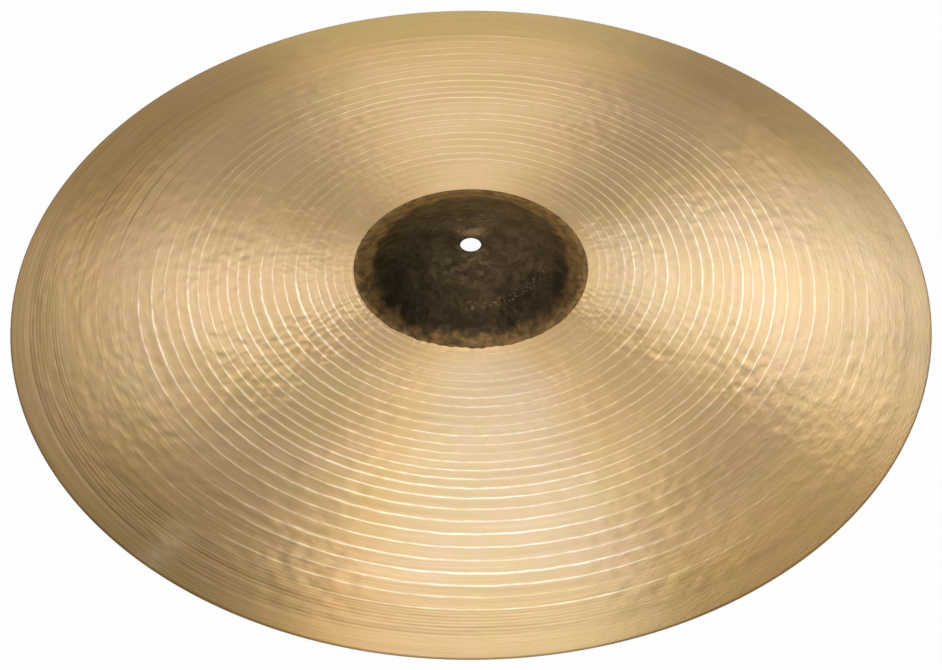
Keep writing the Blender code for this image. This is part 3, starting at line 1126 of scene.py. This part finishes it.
def pale_floor():
    """White painted board. Camera and mirrors see it as white, and it keeps a shadow."""
    finish, tree, shader = new_finish("white_painted_board")
    shader.inputs["Base Color"].default_value = (*linear("FAFAFA"), 1)
    shader.inputs["Roughness"].default_value = 0.9
    seen = wire(tree, "LightPath", None, None, "Is Camera Ray")
    for ray in ("Is Glossy Ray", "Is Transmission Ray"):
        other = wire(tree, "LightPath", None, None, ray)
        seen = wire(tree, "Math", GREATER, {0: seen, 1: other})
    share = wire(tree, "Math", TIMES, {0: seen, 1: FLOOR_GLOW})
    glow = wire(tree, "Emission", None, {"Strength": 1.0})
    mixed = wire(tree, "MixShader", None, {0: share, 1: shader.outputs[0], 2: glow})
    tree.links.new(mixed, tree.nodes["Material Output"].inputs["Surface"])
    return finish


def studio_world(ceiling):
    """A studio that is white along the horizon and dimmer overhead."""
    world = bpy.data.worlds.new("studio")
    world.use_nodes = True
    tree = world.node_tree
    place = wire(tree, "TexCoord", None, None, "Generated")
    up = wire(tree, "SeparateXYZ", None, {0: place}, "Z")
    strength = wire(tree, "MapRange", SMOOTH, {"Value": up, "From Min": HORIZON,
                                               "From Max": OVERHEAD, "To Min": 1.0,
                                               "To Max": ceiling})
    tree.links.new(strength, tree.nodes["Background"].inputs["Strength"])
    tree.nodes["Background"].inputs["Color"].default_value = (1, 1, 1, 1)
    return world


# Name, azimuth and elevation in degrees, width and height in metres, and radiance. All hang
# SOFTBOX_DISTANCE from the middle of the floor, with azimuth counted from +X.
SOFTBOXES = (
    ("overhead", 85, 72.5, 1.44, 2.01, 1.72),
    ("right_back", 64, 40.5, 1.0, 0.94, 2.64),
    ("left_back", 110.4, 44.2, 0.61, 0.68, 2.97),
    ("back", 90.4, 30.2, 0.77, 0.94, 1.54),
    ("front_fill", 270, 45, 2.4, 2.0, 2.4),
)
SOFTBOX_DISTANCE = 3.0


def hang_softbox(scene, name, azimuth, elevation, width, height, strength):
    """A rectangular lamp that faces the middle of the floor."""
    lamp = bpy.data.lights.new(name, "AREA")
    lamp.shape = "RECTANGLE"
    lamp.size = width
    lamp.size_y = height
    lamp.energy = strength * math.pi * width * height
    holder = bpy.data.objects.new(name, lamp)
    turn = math.radians(azimuth)
    rise = math.radians(elevation)
    level = math.cos(rise)
    towards = Vector((level * math.cos(turn), level * math.sin(turn), math.sin(rise)))
    holder.location = towards * SOFTBOX_DISTANCE
    holder.rotation_euler = towards.to_track_quat("Z", "Y").to_euler()
    scene.collection.objects.link(holder)


# Operators


class CYMBAL_OT_turn(bpy.types.Operator):
    """Turn the cymbal from its section, and give its bell and bow their finishes"""

    bl_idname = "cymbal.turn"
    bl_label = "Turn the cymbal"

    def execute(self, context):
        scene = context.scene
        mesh = turn_cymbal(scene.cymbal_shape, scene.cymbal_lathe, scene.cymbal_hammer)
        mesh.materials.append(fired_bronze(scene.cymbal_colours))
        mesh.materials.append(lathed_bronze(scene.cymbal_colours))
        if mesh.validate():
            raise RuntimeError("the cymbal's skin has a faulty face")
        cymbal = bpy.data.objects.new("cymbal_skin", mesh)
        scene.collection.objects.link(cymbal)
        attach(cymbal, "root")
        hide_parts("cymbal")
        return {"FINISHED"}


class CYMBAL_OT_stage(bpy.types.Operator):
    """Lay the pale floor, hang the soft lamps and set up the camera"""

    bl_idname = "cymbal.stage"
    bl_label = "Set the stage"

    def execute(self, context):
        scene = context.scene
        stage = scene.cymbal_stage
        half = stage.floor_width / 2
        mesh = bpy.data.meshes.new("floor")
        corners = [(-half, -half, 0), (half, -half, 0), (half, half, 0), (-half, half, 0)]
        mesh.from_pydata(corners, [], [(0, 1, 2, 3)])
        mesh.materials.append(pale_floor())
        floor = bpy.data.objects.new("floor", mesh)
        floor.location.z = -FLOOR_GAP
        scene.collection.objects.link(floor)

        scene.world = studio_world(stage.ceiling)
        for softbox in SOFTBOXES:
            hang_softbox(scene, *softbox)

        lens = bpy.data.cameras.new("camera")
        lens.lens = stage.lens
        lens.sensor_width = 36
        camera = bpy.data.objects.new("camera", lens)
        distance, rise = stage.camera_distance, stage.camera_elevation
        camera.location = (0, -distance * math.cos(rise), distance * math.sin(rise) + RIM_LEVEL)
        turn = Matrix.Rotation(math.pi / 2 - rise - CAMERA_DROP, 4, "X")
        lean = Matrix.Rotation(CAMERA_LEAN, 4, "Z")
        camera.rotation_euler = (turn @ lean).to_euler()
        scene.collection.objects.link(camera)
        scene.camera = camera
        scene.view_settings.view_transform = "Standard"
        return {"FINISHED"}


class CYMBAL_PT_panel(bpy.types.Panel):
    """The cymbal's settings and the buttons that build it"""

    bl_label = "Ride cymbal"
    bl_idname = "CYMBAL_PT_panel"
    bl_space_type = "VIEW_3D"
    bl_region_type = "UI"
    bl_category = "Cymbal"

    def draw(self, context):
        for group in SETTINGS:
            box = self.layout.box()
            settings = getattr(context.scene, group)
            for name in settings.__annotations__:
                box.prop(settings, name)
        self.layout.operator(CYMBAL_OT_turn.bl_idname)
        self.layout.operator(CYMBAL_OT_stage.bl_idname)


SETTINGS = {
    "cymbal_shape": CymbalShape,
    "cymbal_lathe": LatheWork,
    "cymbal_hammer": HammerWork,
    "cymbal_colours": BronzeColours,
    "cymbal_stage": StudioStage,
}
CLASSES = (*SETTINGS.values(), CYMBAL_OT_turn, CYMBAL_OT_stage, CYMBAL_PT_panel)


def register():
    for item in CLASSES:
        bpy.utils.register_class(item)
    for name, group in SETTINGS.items():
        setattr(bpy.types.Scene, name, PointerProperty(type=group))


def unregister():
    for name in SETTINGS:
        delattr(bpy.types.Scene, name)
    for item in reversed(CLASSES):
        bpy.utils.unregister_class(item)


def main():
    register()
    bpy.ops.cymbal.turn()
    bpy.ops.cymbal.stage()


if __name__ == "__main__":
    main()
